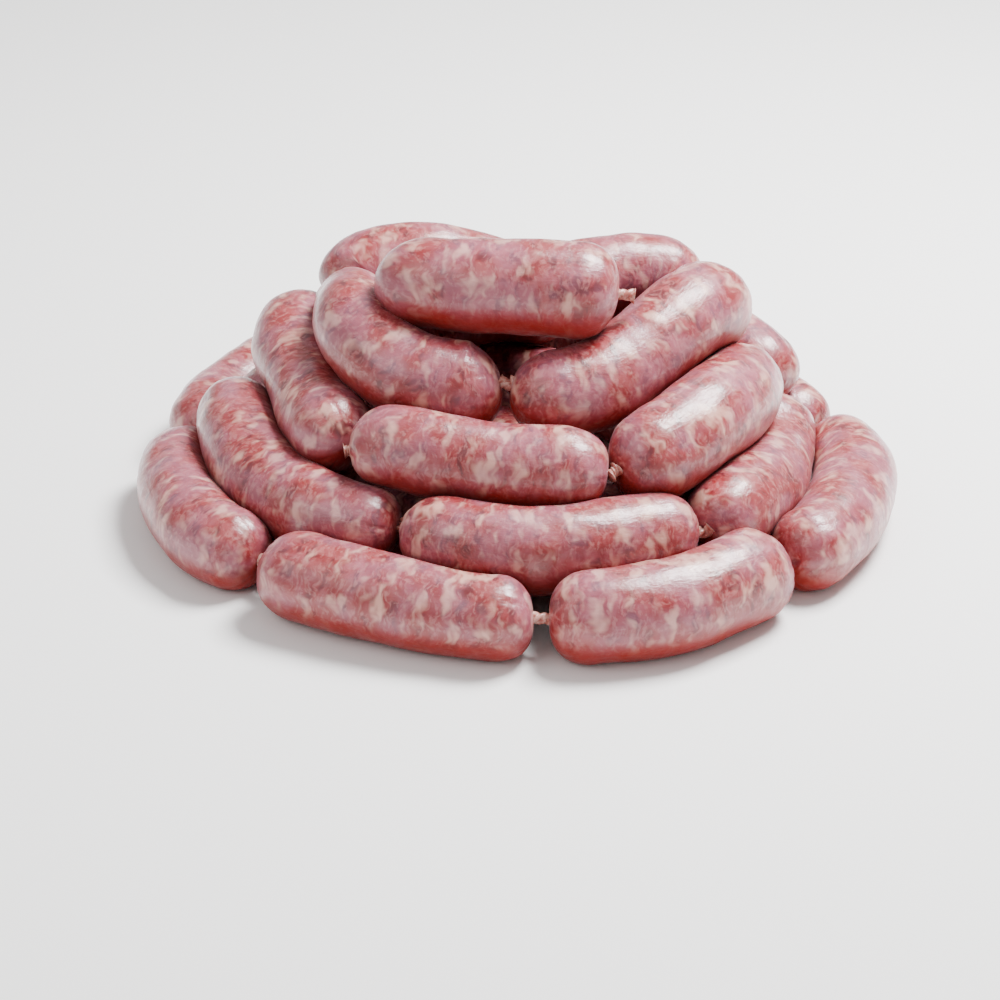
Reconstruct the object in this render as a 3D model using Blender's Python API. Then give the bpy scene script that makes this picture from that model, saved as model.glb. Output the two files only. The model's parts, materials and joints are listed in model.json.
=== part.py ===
"""A string of fresh sausage links, coiled into a heap as it lies on a table.

The string starts in the middle of the heap, winds once round the middle, crosses out to the outer
ring, and then climbs in narrowing rings to the two links that lie across the top. Every link is a
closed solid, and so is every stretch of twisted casing between two links. The twist that a row of
LINKS ends at is given by its azimuth in degrees round the heap's axis, 0 at the front and growing
towards the right, and by its distance from the axis and its height in millimetres.
"""

import math

import bmesh
import bpy
import numpy as np
from mathutils import Vector

MM = 0.001

# The string: what its links and twists share.
LINK_RADIUS = 14.8 * MM
CAP_LENGTH = 14.5 * MM
TIP_RADIUS = 1.9 * MM
TWIST_LENGTH = 6.5 * MM
TWIST_RADIUS = 1.7 * MM
TAIL_LENGTH = 6.0 * MM
BELLY = 0.04

# What neighbours keep between them, and how far a link sinks flat onto the table.
TOUCH_GAP = 1.2 * MM
PIECE_GAP = 0.45 * MM
FLAT_DEPTH = 1.2 * MM

# How finely the solids are faceted.
LINK_SIDES = 12
CAP_RINGS = 4
BODY_RINGS = 4
TWIST_SIDES = 8
TWIST_RINGS = 5

# How the string is settled: the points of a link and of a twist, the steps taken, how much of the
# way back to its course, out of a neighbour and back into shape each step takes, and its sag.
LINK_POINTS = 19
TWIST_POINTS = 3
SETTLE_STEPS = 800
SMOOTH_EVERY = 20
PULL_SHARE = 0.02
PUSH_SHARE = 0.8
SHAPE_SHARE = 0.1
SAG_STEP = 0.01 * MM

MEAT_COLOUR = (0.46, 0.13, 0.12, 1.0)
CASING_COLOUR = (0.72, 0.45, 0.40, 1.0)

# Where the string starts, and then for each link: its name, the twist that it ends at, how far its
# middle bows outwards and rises, in millimetres, and its girth at its two ends against LINK_RADIUS.
START = (28, 44, 14)
LINKS = (
    ("core_1", (208, 50, 14), 0, 0, 1.00, 0.98),
    ("core_2", (310, 64, 14), 25, 0, 0.97, 1.00),
    ("core_3", (411, 65, 14), 24, 0, 1.00, 1.02),
    ("core_4", (512, 66, 14), 21, 0, 1.00, 0.97),
    ("core_5", (574, 115, 14), 0, 0, 0.96, 0.94),
    ("base_1", (626, 112, 14), 7, 0, 0.94, 0.94),
    ("base_2", (676, 120, 14), 10, 0, 0.92, 0.96),
    ("base_3", (725, 121, 14), 7, 0, 1.08, 0.94),
    ("base_4", (769, 124, 14), 8, 0, 1.03, 1.10),
    ("base_5", (821, 115, 14), 8, 0, 1.00, 0.98),
    ("base_6", (871, 104, 14), -3, 0, 0.96, 0.96),
    ("base_7", (921, 96, 34), 14, 0, 1.00, 0.94),
    ("second_1", (983, 106, 27), 8, -3, 0.94, 0.98),
    ("second_2", (1054, 87, 27), 25, -1, 1.02, 0.94),
    ("second_3", (1121, 101, 26), 20, -1, 0.98, 0.94),
    ("second_4", (1182, 105, 28), 14, 1, 1.02, 1.00),
    ("second_5", (1245, 87, 31), 5, 3, 0.98, 0.96),
    ("third_1", (1320, 85, 44), 0, 5, 0.96, 0.98),
    ("third_2", (1395, 82, 44), 16, 0, 0.98, 1.00),
    ("third_3", (1467, 80, 46), 2, 0, 0.99, 0.98),
    ("third_4", (1537, 84, 45), 14, -1, 1.08, 1.08),
    ("third_5", (1592, 65, 47), 4, 0, 0.98, 0.96),
    ("fourth_1", (1684, 74, 60), 11, 5, 0.98, 0.98),
    ("fourth_2", (1793, 37, 64), 31, -3, 0.90, 1.08),
    ("fourth_3", (1914, 73, 61), 30, -5, 1.02, 1.10),
    ("fourth_4", (2072, 44, 83), 17, 0, 0.98, 0.96),
    ("top", (2226, 46, 91), 8, 6, 1.02, 1.18),
)


def on_heap(azimuth, distance, height):
    """The point at this azimuth, distance and height of the heap."""
    turn = math.radians(azimuth)
    return MM * np.array([distance * math.sin(turn), -distance * math.cos(turn), height])


def laid_out():
    """Each link's spine as it is meant to lie, before the links press against one another."""
    spines = []
    start = on_heap(*START)
    for _, twist, bow, rise, _, _ in LINKS:
        end = on_heap(*twist)
        outwards = np.array([end[1] - start[1], start[0] - end[0], 0.0])
        outwards /= np.linalg.norm(outwards)
        inset = TWIST_LENGTH / 2 / np.linalg.norm(end - start)
        along = np.linspace(inset, 1 - inset, LINK_POINTS)[:, None]
        arch = 4 * along * (1 - along)
        lift = outwards * bow * MM + np.array([0.0, 0.0, rise * MM])
        spines.append(evenly_spaced(start + (end - start) * along + arch * lift, LINK_POINTS))
        start = end
    return spines


def arc_lengths(points):
    """How far along its curve each point lies."""
    steps = np.linalg.norm(np.diff(points, axis=0), axis=1)
    return np.concatenate([[0.0], np.cumsum(steps)])


def points_at(points, distances):
    """The points of a curve at these distances along it."""
    along = arc_lengths(points)
    return np.stack([np.interp(distances, along, points[:, axis]) for axis in range(3)], axis=1)


def evenly_spaced(points, count):
    """The same curve with this many evenly spaced points."""
    return points_at(points, np.linspace(0, arc_lengths(points)[-1], count))


def girth_along(share, girths):
    """A link's girth at these shares of its length: from one end's to the other's, with a slight belly."""
    return np.interp(share, (0, 1), girths) * (1 + BELLY * (np.sin(math.pi * share) - 0.5))


def chain_of(spines):
    """The whole string as one chain of points: every link's spine, and the twists between them."""
    chain = []
    piece = []
    for index, spine in enumerate(spines):
        if index:
            ends = np.linspace(spines[index - 1][-1], spine[0], TWIST_POINTS + 2)
            chain.extend(ends[1:-1])
            piece.extend([2 * index - 1] * TWIST_POINTS)
        chain.extend(spine)
        piece.extend([2 * index] * LINK_POINTS)
    return np.array(chain), np.array(piece)


def reach_of(chain, piece):
    """How far each point of the chain keeps others away: the ball that fits inside its piece there."""
    reach = np.full(len(chain), TWIST_RADIUS)
    for index, link in enumerate(LINKS):
        own = np.flatnonzero(piece == 2 * index)
        along = arc_lengths(chain[own])
        to_tip = np.minimum(along, along[-1] - along)
        girth = girth_along(along / along[-1], link[-2:])
        reach[own] = np.minimum(TIP_RADIUS / 2 + to_tip, LINK_RADIUS * girth)
    return reach


def touching_pairs(piece, reach):
    """Every pair of points on different pieces, and how far apart the two must stay."""
    first, second = np.triu_indices(len(piece), 1)
    apart = piece[second] - piece[first]
    first = first[apart > 0]
    second = second[apart > 0]
    apart = apart[apart > 0]
    least = reach[first] + reach[second] + TOUCH_GAP
    least[apart == 1] -= TWIST_RADIUS + 2 * TOUCH_GAP
    return first, second, least


def push_apart(chain, first, second, least):
    """Moves points that are too close away from each other, each by its mean push."""
    way = chain[second] - chain[first]
    distance = np.linalg.norm(way, axis=1)
    near = np.flatnonzero(distance < least)
    push = (least[near] - distance[near])[:, None] * way[near] / distance[near][:, None]
    moved = np.zeros_like(chain)
    count = np.zeros(len(chain))
    np.add.at(moved, first[near], -push)
    np.add.at(moved, second[near], push)
    np.add.at(count, first[near], 1)
    np.add.at(count, second[near], 1)
    return chain + PUSH_SHARE * moved / np.maximum(count, 1)[:, None]


def keep_spacing(chain, stride, rest, share):
    """Brings points that are a stride apart back towards their own spacing."""
    way = chain[stride:] - chain[:-stride]
    distance = np.linalg.norm(way, axis=1)
    change = (share * (distance - rest) / distance)[:, None] * way
    chain = chain.copy()
    chain[:-stride] += change
    chain[stride:] -= change
    return chain


def resting_lengths(chain, piece, stride):
    """The spacing that points a stride apart keep, and how strongly: a twist holds only its length."""
    rest = np.linalg.norm(chain[stride:] - chain[:-stride], axis=1)
    within = (piece[stride:] == piece[:-stride]) & (piece[stride:] % 2 == 0)
    if stride == 1:
        rest[~within] = TWIST_LENGTH / (TWIST_POINTS + 1)
        return rest, np.full(len(rest), SHAPE_SHARE)
    return rest, np.where(within, SHAPE_SHARE, 0.0)


def settled(spines):
    """The spines after the string has settled: no two pieces meet, and nothing is below the table."""
    chain, piece = chain_of(spines)
    reach = reach_of(chain, piece)
    pairs = touching_pairs(piece, reach)
    lowest = np.where(piece % 2 == 0, reach - FLAT_DEPTH, reach)
    laid = chain.copy()
    holds = [(stride, *resting_lengths(chain, piece, stride)) for stride in (1, 2, 5)]
    for step in range(SETTLE_STEPS):
        left = SETTLE_STEPS - step
        last = left < 3 * SMOOTH_EVERY
        ease = 0.0 if left < 8 * SMOOTH_EVERY else max(0.2, 1 - 1.5 * step / SETTLE_STEPS)
        chain = chain + PULL_SHARE * ease * (laid - chain)
        chain[:, 2] -= SAG_STEP * ease
        for stride, rest, share in holds[:1] if last else holds:
            chain = keep_spacing(chain, stride, rest, share)
        if step % SMOOTH_EVERY == 0 and not last:
            for index in range(len(LINKS)):
                own = piece == 2 * index
                chain[own] = smoothed(chain[own])
        chain = push_apart(chain, *pairs)
        chain[:, 2] = np.maximum(chain[:, 2], lowest)
    return [chain[piece == index] for index in range(2 * len(LINKS) - 1)]


def smoothed(spine):
    """The spine as a quartic through its own course, so that the link bends evenly."""
    along = arc_lengths(spine)
    even = np.linspace(0, along[-1], len(spine))
    fits = [np.polyfit(along, spine[:, axis], 4) for axis in range(3)]
    return np.stack([np.polyval(fit, even) for fit in fits], axis=1)


def link_rings(spine, girths):
    """The centres and radii of the rings that a link is made of."""
    length = arc_lengths(spine)[-1]
    angles = np.linspace(0, math.pi / 2, CAP_RINGS)
    cap = CAP_LENGTH * (1 - np.cos(angles))
    body = np.linspace(CAP_LENGTH, length - CAP_LENGTH, BODY_RINGS + 2)[1:-1]
    places = np.concatenate([cap, body, length - cap[::-1]])
    to_tip = np.minimum(places, length - places)
    rise = np.sqrt(1 - (1 - np.minimum(to_tip / CAP_LENGTH, 1)) ** 2)
    full = LINK_RADIUS * girth_along(places / length, girths)
    return points_at(spine, places), TIP_RADIUS + (full - TIP_RADIUS) * rise


def end_way(spine, end):
    """The direction in which a link points out of its first (0) or last (-1) tip."""
    tip, inner = (spine[0], spine[2]) if end == 0 else (spine[-1], spine[-3])
    return (tip - inner) / np.linalg.norm(tip - inner)


def twist_rings(before, after):
    """The centres and radii of a twist's rings, from just off one link's tip to just off the next's."""
    out_way = end_way(before, -1)
    back_way = end_way(after, 0)
    start = before[-1] + PIECE_GAP * out_way
    end = after[0] + PIECE_GAP * back_way
    reach = 0.45 * np.linalg.norm(end - start)
    knots = (start, start + reach * out_way, end + reach * back_way, end)
    along = np.linspace(0, 1, TWIST_RINGS)[:, None]
    weights = ((1 - along) ** 3, 3 * along * (1 - along) ** 2, 3 * along**2 * (1 - along), along**3)
    return sum(weight * knot for weight, knot in zip(weights, knots)), TWIST_RADIUS * np.ones(TWIST_RINGS)


def side_and_up(way):
    """Two directions across a ring, one level and one as upright as the ring allows."""
    way = way / np.linalg.norm(way)
    side = np.cross(way, [0.0, 0.0, 1.0])
    if np.linalg.norm(side) < 0.05:
        side = np.cross(way, [0.0, 1.0, 0.0])
    side /= np.linalg.norm(side)
    return side, np.cross(side, way)


def tube_mesh(name, centres, radii, sides, middle):
    """A closed tube of flat-bottomed rings, with no point below the table."""
    ways = np.gradient(centres, axis=0)
    model = bmesh.new()
    rings = []
    for centre, way, radius in zip(centres, ways, radii):
        side, up = side_and_up(way)
        ring = []
        for corner in range(sides):
            angle = 2 * math.pi * (corner + 0.5) / sides
            point = centre + radius * (math.sin(angle) * side - math.cos(angle) * up)
            point[2] = max(point[2], 0.0)
            ring.append(model.verts.new(Vector(point - middle)))
        rings.append(ring)
    for ring, following in zip(rings, rings[1:]):
        for corner in range(sides):
            beside = (corner + 1) % sides
            model.faces.new((ring[corner], ring[beside], following[beside], following[corner]))
    model.faces.new(rings[0])
    model.faces.new(rings[-1])
    bmesh.ops.recalc_face_normals(model, faces=model.faces)
    mesh = bpy.data.meshes.new(name)
    model.to_mesh(mesh)
    model.free()
    mesh.shade_smooth()
    return mesh


def add_solid(name, rings, sides, surface, parent):
    """One named solid of the string, placed by its own middle."""
    centres, radii = rings
    middle = centres.mean(axis=0)
    mesh = tube_mesh(name, centres, radii, sides, middle)
    mesh.materials.append(surface)
    piece = bpy.data.objects.new(name, mesh)
    piece.location = Vector(middle)
    piece.parent = parent
    bpy.context.scene.collection.objects.link(piece)


def tail_rings(spine, end):
    """The short tied-off end of the casing beyond a free tip of the string."""
    places = np.linspace(PIECE_GAP, TAIL_LENGTH, TWIST_RINGS)[:, None]
    return spine[end] + end_way(spine, end) * places, TWIST_RADIUS * np.linspace(0.7, 1.0, TWIST_RINGS)


def material(name, colour, roughness):
    """A plain surface of this colour."""
    made = bpy.data.materials.new(name)
    made.use_nodes = True
    shader = made.node_tree.nodes["Principled BSDF"]
    shader.inputs["Base Color"].default_value = colour
    shader.inputs["Roughness"].default_value = roughness
    shader.inputs["Metallic"].default_value = 0.0
    return made


def clear_scene():
    """Removes every object that is in the scene."""
    for item in list(bpy.data.objects):
        bpy.data.objects.remove(item)


def main():
    clear_scene()
    meat = material("meat", MEAT_COLOUR, 0.35)
    casing = material("casing", CASING_COLOUR, 0.4)
    string = bpy.data.objects.new("sausage_string", None)
    bpy.context.scene.collection.objects.link(string)
    pieces = settled(laid_out())
    spines = pieces[::2]
    links = [link_rings(spine, link[-2:]) for spine, link in zip(spines, LINKS)]
    span = np.concatenate([np.concatenate([c - r[:, None], c + r[:, None]]) for c, r in links])
    shift = np.append((span.min(axis=0) + span.max(axis=0))[:2] / 2, 0.0)
    spines = [spine - shift for spine in spines]
    for index, link in enumerate(LINKS):
        centres, radii = links[index]
        add_solid("link_" + link[0], (centres - shift, radii), LINK_SIDES, meat, string)
    for number, (before, after) in enumerate(zip(spines, spines[1:]), 1):
        add_solid(f"twist_{number:02d}", twist_rings(before, after), TWIST_SIDES, casing, string)
    add_solid("tail_start", tail_rings(spines[0], 0), TWIST_SIDES, casing, string)
    add_solid("tail_end", tail_rings(spines[-1], -1), TWIST_SIDES, casing, string)


main()
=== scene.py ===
"""A string of raw sausages coiled into a heap, as it looks: moist coarse-ground pork in natural casing.

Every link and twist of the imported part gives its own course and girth, and is replaced by a fine tube
that swells out to meet its neighbours, flattens where it presses on them or on the table, and puckers
towards its tips. All sizes here are in millimetres, and meshes are made in metres.
"""

import json
import math

import bpy
import numpy as np
from mathutils import Matrix, Vector

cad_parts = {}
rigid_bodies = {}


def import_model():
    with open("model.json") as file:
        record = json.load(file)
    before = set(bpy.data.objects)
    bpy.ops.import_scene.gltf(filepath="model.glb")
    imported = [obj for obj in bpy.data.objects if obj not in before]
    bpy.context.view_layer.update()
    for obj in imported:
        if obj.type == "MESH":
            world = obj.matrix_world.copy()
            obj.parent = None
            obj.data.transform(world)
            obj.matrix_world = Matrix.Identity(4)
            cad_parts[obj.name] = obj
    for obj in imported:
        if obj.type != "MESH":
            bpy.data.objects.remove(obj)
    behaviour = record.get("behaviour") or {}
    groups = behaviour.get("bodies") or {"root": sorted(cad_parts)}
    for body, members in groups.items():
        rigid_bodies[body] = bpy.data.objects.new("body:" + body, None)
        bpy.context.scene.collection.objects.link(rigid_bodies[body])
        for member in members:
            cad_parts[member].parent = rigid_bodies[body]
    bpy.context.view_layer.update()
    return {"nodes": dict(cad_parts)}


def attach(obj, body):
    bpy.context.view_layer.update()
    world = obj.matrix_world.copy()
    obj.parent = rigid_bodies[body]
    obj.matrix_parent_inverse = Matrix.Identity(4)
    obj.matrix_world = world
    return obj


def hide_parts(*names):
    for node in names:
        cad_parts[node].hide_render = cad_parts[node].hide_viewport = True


MM = 0.001

# How a link's tube is cut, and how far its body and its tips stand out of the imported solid.
LINK_SIDES = 88
LINK_RINGS = 140
SWELL = 1.0
TIP_REACH = 1.3
TIP_RADIUS = 2.0

# The rounded end of a packed link, and the range of lengths and of fullness of the ends that show.
PACKED_CAP_LENGTH = 14.5
CAP_LENGTHS = (12.5, 19.0)
CAP_FULLNESS = (1.95, 2.4)
CAP_SEED = 900

# A tip ring's points lie within this distance of one another: in a packed link, and in a packed twist.
LINK_TIP_SPREAD = 4.6
TWIST_TIP_SPREAD = 3.8

# How links give way: their boxes meet when grown by NEIGHBOUR_REACH, and points over CLEAR away stay.
NEIGHBOUR_REACH = 17.0
CLEAR = 4.0
SOFT_EDGE = 0.35
PRESS_ROUNDS = 3

# Painted shade, a deeper red on the undersides and between links: how steep a side it begins on, and how
# near to a neighbour.
PAINTED_SHADE_SLOPE = 0.35
PAINTED_CREVICE_REACH = 2.5
PAINTED_CREVICE_SHARE = 0.7

# The unevenness of a link: how high and how wide its swellings are, and the pleats at its tips.
SWELLINGS = ((0.95, 24.0), (0.42, 9.0), (0.13, 4.0))
PLEAT_DEPTH = 1.0
PLEAT_REACH = 9.0
PLEAT_WIDTH = 0.42
PLEAT_SHARPNESS = 5
SWELLING_FADE = 9.0

# How far apart the links' patterns are taken, so that no two links look alike.
SWELLING_STEP = 37.0
PLEAT_STEP = 5.3
GRAIN_STEP = 211.0

# A twist of casing: its strands wound round one another, and how far it runs into the links.
TWIST_SIDES = 36
TWIST_RINGS = 48
TWIST_RADIUS = 1.9
TWIST_STRANDS = 3
TWIST_TURNS = 1.1
TWIST_INSET = 1.4
TWIST_FLARE = 0.55
TWIST_GROOVE = (0.84, 0.24)

# The colours of lean and fat pork under its casing, and of the milky bloom that lies over both.
LEAN = (0.225, 0.012, 0.014, 1)
DARK_LEAN = (0.105, 0.005, 0.010, 1)
PINK = (0.325, 0.056, 0.062, 1)
PALE = (0.46, 0.155, 0.145, 1)
FAT = (0.62, 0.32, 0.255, 1)
BLOOM = (0.42, 0.22, 0.33, 1)
# Painted shade: the darker, deeper red laid on the undersides and where links press together, standing in
# for shade and warm bounce light.
PAINTED_UNDERSIDE_SHADE = (0.225, 0.010, 0.004, 1)

# The camera looks down at the heap from the front.
CAMERA_DISTANCE = 1155.0
CAMERA_HEIGHT_ANGLE = 28.15
CAMERA_ROLL = 0.96
CAMERA_LENS = 108.5
CAMERA_SHIFT = (-0.0018, -0.0152)
AIM = (-5.7, 11.2, 0.0)


def soft_noise(points, size, seed):
    """Smooth noise from -1 to 1 whose swellings are about this wide."""
    lattice = np.random.default_rng(seed).uniform(-1, 1, (32, 32, 32))
    cell = points / size
    low = np.floor(cell).astype(int)
    share = cell - low
    share = share * share * (3 - 2 * share)
    total = np.zeros(len(points))
    for corner in np.ndindex(2, 2, 2):
        index = (low + corner) % 32
        weight = np.prod(np.where(corner, share, 1 - share), axis=1)
        total += weight * lattice[tuple(index.T)]
    return total


def arc_lengths(points):
    """How far along its curve each point lies."""
    steps = np.linalg.norm(np.diff(points, axis=0), axis=1)
    return np.concatenate([[0.0], np.cumsum(steps)])


def along_curve(knots, places):
    """Points of the smooth curve through the knots, at these distances along it."""
    at = arc_lengths(knots)
    slopes = np.gradient(knots, at, axis=0)
    index = np.clip(np.searchsorted(at, places) - 1, 0, len(knots) - 2)
    span = at[index + 1] - at[index]
    share = ((places - at[index]) / span)[:, None]
    span = span[:, None]
    start = (1 + 2 * share) * (1 - share) ** 2 * knots[index]
    leave = share * (1 - share) ** 2 * span * slopes[index]
    end = share**2 * (3 - 2 * share) * knots[index + 1]
    arrive = share**2 * (share - 1) * span * slopes[index + 1]
    return start + leave + end + arrive


def welded(node):
    """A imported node's separate points in millimetres, and which of them are joined by an edge."""
    mesh = node.data
    points = np.array([vertex.co for vertex in mesh.vertices]) / MM
    _, first, same = np.unique(points.round(3), axis=0, return_index=True, return_inverse=True)
    same = same.reshape(-1)
    joined = [set() for _ in first]
    for edge in mesh.edges:
        start, end = same[list(edge.vertices)]
        joined[start].add(int(end))
        joined[end].add(int(start))
    return points[first], joined


def rings_of(node, tip_spread):
    """The middles and radii of the rings that a packed tube is made of, from one tip to the other."""
    points, joined = welded(node)
    shortest = [
        min(np.linalg.norm(points[list(near)] - points[own], axis=1) if near else [1e9])
        for own, near in enumerate(joined)
    ]
    seed = int(np.argmin(shortest))
    ring = set(np.flatnonzero(np.linalg.norm(points - points[seed], axis=1) < tip_spread).tolist())
    seen = set()
    middles = []
    radii = []
    while ring:
        own = points[sorted(ring)]
        middles.append(own.mean(axis=0))
        radii.append(np.median(np.linalg.norm(own - own.mean(axis=0), axis=1)))
        seen |= ring
        ring = set().union(*(joined[point] for point in ring)) - seen
    return np.array(middles), np.array(radii)


def lengthened(knots, reach):
    """The same curve with one more point a short way beyond each end."""
    first = knots[0] - knots[1]
    last = knots[-1] - knots[-2]
    before = knots[0] + reach * first / np.linalg.norm(first)
    after = knots[-1] + reach * last / np.linalg.norm(last)
    return np.vstack([before, knots, after])


def side_and_up(ways):
    """Two directions across each ring, one level and one as upright as the ring allows."""
    side = np.cross(ways, [0.0, 0.0, 1.0])
    side /= np.linalg.norm(side, axis=1)[:, None]
    return side, np.cross(side, ways)


def rounded_end(to_tip, draw):
    """The share of its full girth a link has this far from a tip: some ends are blunt, some slim."""
    length = draw.uniform(*CAP_LENGTHS)
    fullness = draw.uniform(*CAP_FULLNESS)
    return (1 - (1 - np.minimum(to_tip / length, 1)) ** fullness) ** (1 / fullness)


class Link:
    """A link's course: its spine, and how far its surface stands off it."""

    def __init__(self, node, seed):
        knots, radii = rings_of(node, LINK_TIP_SPREAD)
        knots = lengthened(knots, TIP_REACH)
        radii = np.concatenate([radii[:1], radii, radii[-1:]])
        at = arc_lengths(knots)
        length = at[-1]
        body = (at > PACKED_CAP_LENGTH - 1) & (at < length - PACKED_CAP_LENGTH + 1)
        rings = np.arange(LINK_RINGS + 1) / LINK_RINGS
        self.seed = seed
        self.places = length * (1 - np.cos(math.pi * rings)) / 2
        self.spine = along_curve(knots, self.places)
        self.to_tip = np.minimum(self.places, length - self.places)
        self.full = np.interp(self.places, at[body], radii[body])
        draw = np.random.default_rng(CAP_SEED + seed)
        cap = rounded_end(self.places, draw) * rounded_end(length - self.places, draw)
        self.radii = TIP_RADIUS + (self.full - TIP_RADIUS + SWELL) * cap
        self.reach = np.minimum(TIP_RADIUS / 2 + self.to_tip, self.full + SWELL)
        self.ways = np.gradient(self.spine, self.places, axis=0)
        self.ways /= np.linalg.norm(self.ways, axis=1)[:, None]

    def depth_in(self, points):
        """How deep these points lie inside this link, negative outside it."""
        deepest = np.full(len(points), -1e9)
        for middle, reach in zip(self.spine[::2], self.reach[::2]):
            deepest = np.maximum(deepest, reach - np.linalg.norm(points - middle, axis=1))
        return deepest


def uneven(link, points, angles, to_tip):
    """How far the surface rises at each point: broad and small swellings, and pleats at the tips."""
    rise = np.zeros(len(points))
    for turn, (height, width) in enumerate(SWELLINGS):
        rise += height * soft_noise(points + SWELLING_STEP * link.seed, width, 10 + turn)
    rise *= np.minimum(to_tip / SWELLING_FADE, 1)
    round_tip = np.stack([np.cos(angles), np.sin(angles), 0.04 * to_tip], axis=1)
    crease = 1 - np.abs(soft_noise(round_tip + PLEAT_STEP * link.seed, PLEAT_WIDTH, 20))
    pleats = crease**PLEAT_SHARPNESS * np.exp(-to_tip / PLEAT_REACH) * np.minimum(to_tip / 1.5, 1)
    return rise - PLEAT_DEPTH * pleats


def pressed(points, inwards, others):
    """The points after they give way to the neighbours and the table, half of each overlap apiece."""
    given = np.zeros(len(points))
    for turn in range(PRESS_ROUNDS):
        depth = np.full(len(points), -1e9)
        for other in others:
            depth = np.maximum(depth, other.depth_in(points))
        excess = depth - given
        if turn == 0:
            excess = (excess + np.sqrt(excess**2 + SOFT_EDGE**2)) / 2
        push = 0.5 * np.maximum(excess, 0)
        push[depth < -CLEAR] = 0
        points = points + inwards * push[:, None]
        given += push
    points[:, 2] = np.maximum(points[:, 2], 0.0)
    return points


def near_ones(link, links):
    """The other links that come close enough to press on this one."""
    low = link.spine.min(axis=0) - NEIGHBOUR_REACH
    high = link.spine.max(axis=0) + NEIGHBOUR_REACH
    found = []
    for other in links:
        above = (other.spine.min(axis=0) - NEIGHBOUR_REACH > high).any()
        below = (other.spine.max(axis=0) + NEIGHBOUR_REACH < low).any()
        if other is not link and not above and not below:
            found.append(other)
    return found


def tube(name, rings, tips):
    """A closed mesh through rings of points, with a point at each tip, smooth all over."""
    count, sides, _ = rings.shape
    points = np.concatenate([rings.reshape(-1, 3), tips]) * MM
    ring, corner = np.meshgrid(np.arange(count - 1), np.arange(sides), indexing="ij")
    beside = (corner + 1) % sides
    start = ring * sides
    quads = np.stack([start + corner, start + sides + corner, start + sides + beside, start + beside], -1)
    around = np.arange(sides)
    last = (count - 1) * sides
    first_tip = [(count * sides, side, (side + 1) % sides) for side in around]
    last_tip = [(count * sides + 1, last + (side + 1) % sides, last + side) for side in around]
    mesh = bpy.data.meshes.new(name)
    mesh.from_pydata(points.tolist(), [], quads.reshape(-1, 4).tolist() + first_tip + last_tip)
    mesh.update()
    mesh.shade_smooth()
    piece = bpy.data.objects.new(name, mesh)
    bpy.context.scene.collection.objects.link(piece)
    return piece


def keep_vectors(piece, name, values):
    """Stores a vector at every point of the mesh, for its material."""
    layer = piece.data.attributes.new(name, "FLOAT_VECTOR", "POINT")
    layer.data.foreach_set("vector", np.asarray(values, np.float32).ravel())


def keep_shares(piece, name, values):
    """Stores a share from 0 to 1 at every point of the mesh, for its material."""
    layer = piece.data.attributes.new(name, "FLOAT", "POINT")
    layer.data.foreach_set("value", np.asarray(values, np.float32))


def painted_shade_mask(points, outwards, others):
    """How much painted shade each point gets, from 0 to 1: on the underside, and close against a
    neighbour.
    """
    # Painted shade on the undersides: more the more steeply the surface faces down.
    below = np.clip(PAINTED_SHADE_SLOPE - outwards[:, 2], 0, 1)
    closest = np.max([other.depth_in(points) for other in others], axis=0)
    # Painted shade between links: more the nearer a neighbour is.
    painted_crevice_shade = np.clip(1 + closest / PAINTED_CREVICE_REACH, 0, 1) * PAINTED_CREVICE_SHARE
    return np.maximum(below * below * (3 - 2 * below), painted_crevice_shade)


def link_piece(name, link, links):
    """The visible link: an uneven, pressed tube that carries its own lengthways grain."""
    others = near_ones(link, links)
    side, up = side_and_up(link.ways)
    angles = 2 * math.pi * np.arange(LINK_SIDES) / LINK_SIDES
    across = np.sin(angles)[None, :, None] * side[:, None] - np.cos(angles)[None, :, None] * up[:, None]
    outwards = across.reshape(-1, 3)
    flat_angles = np.tile(angles, len(link.spine))
    to_tip = np.repeat(link.to_tip, LINK_SIDES)
    middles = np.repeat(link.spine, LINK_SIDES, axis=0)
    points = middles + outwards * np.repeat(link.radii, LINK_SIDES)[:, None]
    points += outwards * uneven(link, points, flat_angles, to_tip)[:, None]
    points = pressed(points, -outwards, others)
    piece = tube(name, points.reshape(len(link.spine), LINK_SIDES, 3), link.spine[[0, -1]])
    # Stores the painted shade mask (undersides and crevices) for the material.
    keep_shares(piece, "painted_shade_mask", np.concatenate([painted_shade_mask(points, outwards, others), [0, 0]]))
    girth = np.linalg.norm(points - middles, axis=1)
    grain = np.stack(
        [np.repeat(link.places, LINK_SIDES), girth * np.sin(flat_angles), girth * np.cos(flat_angles)], 1
    )
    tips = [[link.places[0], 0, 0], [link.places[-1], 0, 0]]
    keep_vectors(piece, "grain", np.concatenate([grain, tips]) + GRAIN_STEP * link.seed)
    return piece


def twist_piece(name, node):
    """A visible twist: three strands of casing wound tight, flaring where they run into the links."""
    knots, _ = rings_of(node, TWIST_TIP_SPREAD)
    knots = lengthened(knots, TWIST_INSET)
    length = arc_lengths(knots)[-1]
    places = np.linspace(0, length, TWIST_RINGS)
    spine = along_curve(knots, places)
    ways = np.gradient(spine, places, axis=0)
    ways /= np.linalg.norm(ways, axis=1)[:, None]
    side, up = side_and_up(ways)
    share = (places / length)[:, None]
    angles = (2 * math.pi * np.arange(TWIST_SIDES) / TWIST_SIDES)[None]
    wound = TWIST_STRANDS * (angles - 2 * math.pi * TWIST_TURNS * share)
    flare = 1 + TWIST_FLARE * np.abs(2 * share - 1) ** 3
    groove, strand = TWIST_GROOVE
    radii = TWIST_RADIUS * flare * (groove + strand * np.abs(np.cos(wound / 2)))
    rings = spine[:, None] + radii[..., None] * (
        np.sin(angles)[..., None] * side[:, None] - np.cos(angles)[..., None] * up[:, None]
    )
    rings[..., 2] = np.maximum(rings[..., 2], 0.0)
    return tube(name, rings, spine[[0, -1]])


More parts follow.
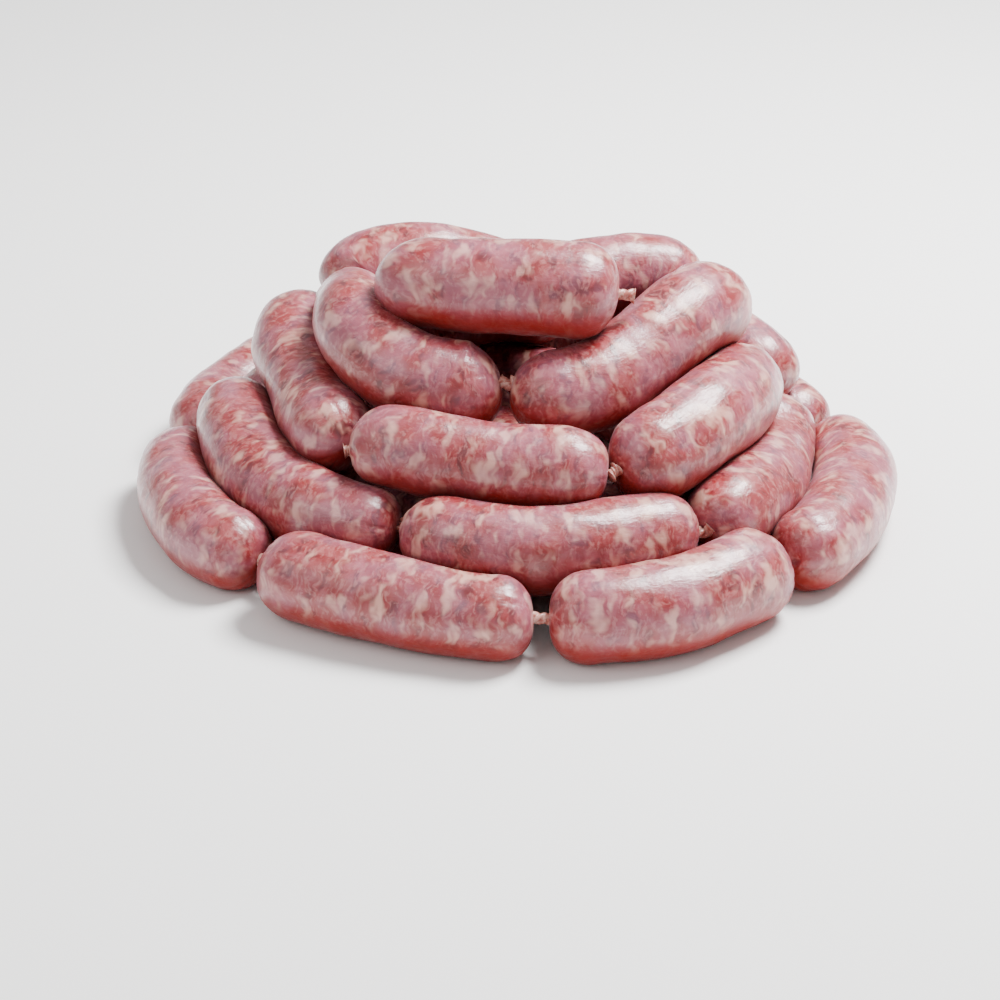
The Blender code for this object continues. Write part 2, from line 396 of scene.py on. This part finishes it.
def wire(tree, kind, inputs, **settings):
    """A new shader node. Each input is a plain value or the output of another node."""
    made = tree.nodes.new(kind)
    for name, value in settings.items():
        setattr(made, name, value)
    for name, value in inputs.items():
        if isinstance(value, bpy.types.NodeSocket):
            tree.links.new(value, made.inputs[name])
        else:
            made.inputs[name].default_value = value
    return made


def noise(tree, vector, size, detail=2.0, roughness=0.5):
    """Noise with features of about this size in the vector's own units."""
    inputs = {"Vector": vector, "Scale": 1 / size, "Detail": detail, "Roughness": roughness}
    return wire(tree, "ShaderNodeTexNoise", inputs).outputs["Fac"]


def between(tree, value, low, high, start=0.0, end=1.0):
    """A soft step from start to end as the value goes from low to high."""
    inputs = {"Value": value, "From Min": low, "From Max": high, "To Min": start, "To Max": end}
    return wire(tree, "ShaderNodeMapRange", inputs, interpolation_type="SMOOTHSTEP").outputs["Result"]


def mixed(tree, share, first, second):
    """One colour turning into another."""
    inputs = {0: share, 6: first, 7: second}
    return wire(tree, "ShaderNodeMix", inputs, data_type="RGBA").outputs[2]


def moved(tree, vector, way):
    """The same vector a fixed way off, so that two patterns differ."""
    return wire(tree, "ShaderNodeVectorMath", {0: vector, 1: way}, operation="ADD").outputs[0]


def speckle(tree, chunks, way, size, steps):
    """Softly edged specks of about this size, a fixed way off from the other patterns."""
    low, high, most = steps
    return between(tree, noise(tree, moved(tree, chunks, way), size, 2.0, 0.5), low, high, 0.0, most)


def meat_colour(tree, grain, low):
    """Lean and fat pieces ground together, blurred by the casing over them, with painted shade on the
    undersides and between links.
    """
    wander = wire(tree, "ShaderNodeTexNoise", {"Vector": grain, "Scale": 0.16, "Detail": 1.0})
    centred = moved(tree, wander.outputs["Color"], (-0.5, -0.5, -0.5))
    warped = wire(
        tree, "ShaderNodeVectorMath", {0: centred, 1: (5.0, 5.0, 5.0), 2: grain}, operation="MULTIPLY_ADD"
    ).outputs[0]
    chunks = wire(
        tree, "ShaderNodeVectorMath", {0: warped, 1: (1.5, 0.8, 0.8)}, operation="MULTIPLY"
    ).outputs[0]
    tone = between(tree, noise(tree, chunks, 4.4, 2.5, 0.55), 0.36, 0.64)
    colour = mixed(tree, tone, LEAN, PINK)
    colour = mixed(tree, speckle(tree, grain, (8, 51, 70), 34.0, (0.42, 0.60, 0.5)), colour, LEAN)
    colour = mixed(tree, speckle(tree, chunks, (41, 7, 19), 5.5, (0.52, 0.68, 0.85)), colour, DARK_LEAN)
    colour = mixed(tree, speckle(tree, chunks, (9, 63, 5), 1.9, (0.46, 0.70, 0.55)), colour, PALE)
    colour = mixed(tree, speckle(tree, chunks, (3, 17, 88), 7.6, (0.51, 0.72, 0.92)), colour, FAT)
    colour = mixed(tree, speckle(tree, grain, (77, 2, 31), 13.0, (0.38, 0.66, 0.24)), colour, BLOOM)
    # Painted shade: the colour turns to the darker, deeper red where the mask marks an underside or a
    # crevice.
    return mixed(tree, between(tree, low, 0.0, 1.0, 0.0, 0.88), colour, PAINTED_UNDERSIDE_SHADE)


def meat_material():
    """Moist sausage meat under its casing."""
    made = bpy.data.materials.new("casing_over_meat")
    made.use_nodes = True
    tree = made.node_tree
    grain = wire(tree, "ShaderNodeAttribute", {}, attribute_name="grain").outputs["Vector"]
    # The painted shade mask: it turns the colour to a darker red, and it also lowers the gloss there.
    low = wire(tree, "ShaderNodeAttribute", {}, attribute_name="painted_shade_mask").outputs["Fac"]
    colour = meat_colour(tree, grain, low)
    long_grain = wire(
        tree, "ShaderNodeVectorMath", {0: grain, 1: (0.45, 1.0, 1.0)}, operation="MULTIPLY"
    ).outputs[0]
    wrinkles = noise(tree, long_grain, 1.6, 5.0, 0.6)
    rough = between(tree, noise(tree, grain, 3.0, 3.0), 0.3, 0.7, 0.34, 0.50)
    bump = wire(tree, "ShaderNodeBump", {"Height": wrinkles, "Strength": 0.35, "Distance": 0.0006})
    shader = tree.nodes["Principled BSDF"]
    tree.links.new(colour, shader.inputs["Base Color"])
    tree.links.new(rough, shader.inputs["Roughness"])
    tree.links.new(between(tree, low, 0.0, 1.0, 0.75, 0.15), shader.inputs["Coat Weight"])
    tree.links.new(between(tree, low, 0.0, 1.0, 0.4, 0.2), shader.inputs["Specular IOR Level"])
    tree.links.new(bump.outputs["Normal"], shader.inputs["Normal"])
    tree.links.new(bump.outputs["Normal"], shader.inputs["Coat Normal"])
    shader.inputs["Subsurface Weight"].default_value = 0.22
    shader.inputs["Subsurface Radius"].default_value = (1.0, 0.35, 0.25)
    shader.inputs["Subsurface Scale"].default_value = 0.003
    shader.inputs["Coat Roughness"].default_value = 0.24
    shader.inputs["Sheen Weight"].default_value = 0.06
    shader.inputs["Sheen Roughness"].default_value = 0.4
    shader.inputs["Sheen Tint"].default_value = (0.92, 0.82, 0.92, 1)
    return made


def casing_material():
    """Empty casing wound tight: pale, damp, with the meat's pink showing in its folds."""
    made = bpy.data.materials.new("twisted_casing")
    made.use_nodes = True
    tree = made.node_tree
    place = wire(tree, "ShaderNodeTexCoord", {}).outputs["Object"]
    blotch = between(tree, noise(tree, place, 0.0022, 3.0, 0.6), 0.35, 0.65)
    colour = mixed(tree, blotch, (0.38, 0.11, 0.085, 1), (0.62, 0.36, 0.30, 1))
    folds = noise(tree, place, 0.0008, 3.0)
    bump = wire(tree, "ShaderNodeBump", {"Height": folds, "Strength": 0.4, "Distance": 0.0003})
    shader = tree.nodes["Principled BSDF"]
    tree.links.new(colour, shader.inputs["Base Color"])
    tree.links.new(bump.outputs["Normal"], shader.inputs["Normal"])
    shader.inputs["Roughness"].default_value = 0.38
    shader.inputs["Subsurface Weight"].default_value = 0.3
    shader.inputs["Subsurface Radius"].default_value = (1.0, 0.4, 0.3)
    shader.inputs["Subsurface Scale"].default_value = 0.002
    shader.inputs["Coat Weight"].default_value = 0.4
    shader.inputs["Coat Roughness"].default_value = 0.2
    return made


def dress(piece, material, node):
    """Gives a visible piece its material and its place on the part, and hides the node that it stands
    for.
    """
    piece.data.materials.append(material)
    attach(piece, "root")
    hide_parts(node)


def add_food(frame):
    """Every link, twist and tail of the string."""
    meat = meat_material()
    casing = casing_material()
    names = sorted(frame["nodes"])
    links = {name: Link(frame["nodes"][name], seed) for seed, name in enumerate(names) if "link" in name}
    for name, link in links.items():
        dress(link_piece(name.replace("link", "sausage"), link, links.values()), meat, name)
    for name in names:
        if name not in links:
            dress(twist_piece("casing_" + name, frame["nodes"][name]), casing, name)


def add_stage():
    """A pale floor, and soft light from above, most of it from the right and a little behind."""
    bpy.ops.mesh.primitive_plane_add(size=8)
    floor = bpy.context.object
    floor.name = "floor"
    surface = bpy.data.materials.new("pale_floor")
    surface.use_nodes = True
    shader = surface.node_tree.nodes["Principled BSDF"]
    shader.inputs["Base Color"].default_value = (0.93, 0.925, 0.92, 1)
    shader.inputs["Roughness"].default_value = 0.7
    floor.data.materials.append(surface)
    add_lamp("key", (380, 240, 820), 380, 31.0)
    add_lamp("fill", (-620, -420, 700), 700, 3.0)
    world = bpy.data.worlds.new("studio")
    world.use_nodes = True
    world.node_tree.nodes["Background"].inputs["Color"].default_value = (1, 0.99, 0.98, 1)
    world.node_tree.nodes["Background"].inputs["Strength"].default_value = 0.62
    bpy.context.scene.world = world


def add_lamp(name, place, size, power):
    """A square soft lamp that faces the heap."""
    light = bpy.data.lights.new(name, "AREA")
    light.size = size * MM
    light.energy = power
    lamp = bpy.data.objects.new(name, light)
    lamp.location = Vector(place) * MM
    lamp.rotation_euler = (-lamp.location).to_track_quat("-Z", "Y").to_euler()
    bpy.context.scene.collection.objects.link(lamp)


def add_camera():
    """The camera: it looks down at the front of the heap, rolled a little."""
    lens = bpy.data.cameras.new("camera")
    lens.lens = CAMERA_LENS
    lens.shift_x, lens.shift_y = CAMERA_SHIFT
    camera = bpy.data.objects.new("camera", lens)
    angle = math.radians(CAMERA_HEIGHT_ANGLE)
    back = Vector((0, -math.cos(angle), math.sin(angle)))
    camera.location = (Vector(AIM) + CAMERA_DISTANCE * back) * MM
    roll = Matrix.Rotation(math.radians(CAMERA_ROLL), 4, "Z")
    camera.rotation_euler = ((-back).to_track_quat("-Z", "Y").to_matrix().to_4x4() @ roll).to_euler()
    bpy.context.scene.collection.objects.link(camera)
    bpy.context.scene.camera = camera


def main():
    for item in list(bpy.data.objects):
        bpy.data.objects.remove(item)
    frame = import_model()
    add_food(frame)
    add_stage()
    add_camera()


main()
